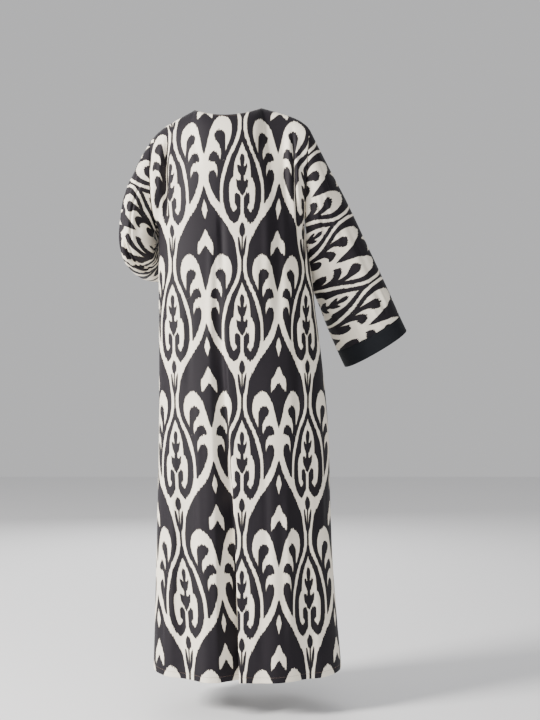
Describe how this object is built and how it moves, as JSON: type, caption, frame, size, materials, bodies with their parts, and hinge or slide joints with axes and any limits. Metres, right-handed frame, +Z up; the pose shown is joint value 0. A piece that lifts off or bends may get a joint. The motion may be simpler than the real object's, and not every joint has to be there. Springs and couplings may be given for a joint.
{
  "type": "open ankle-length robe",
  "caption": "Long open robe in ivory and black plume print with wide straight sleeves and dark cuff bands, hollow as worn, one arm bent.",
  "frame": {"origin": "middle of the neck opening, level with the shoulder seams at the neck, where the wearer's neck holds the robe", "axes": "+Z up, the fronts face -Y, the wearer's left is +X"},
  "size_m": [0.699, 0.4636, 1.3531],
  "materials": {
    "printed_cloth": "smooth matte satin cloth, ivory and black ikat plume print",
    "black_band": "plain black woven band"
  },
  "bodies": {
    "root": {"back_panel": "printed_cloth", "front_left": "printed_cloth", "front_right": "printed_cloth", "sleeve_left": "printed_cloth", "sleeve_right": "printed_cloth", "cuff_left": "black_band", "cuff_right": "black_band"}
  },
  "joints": []
}
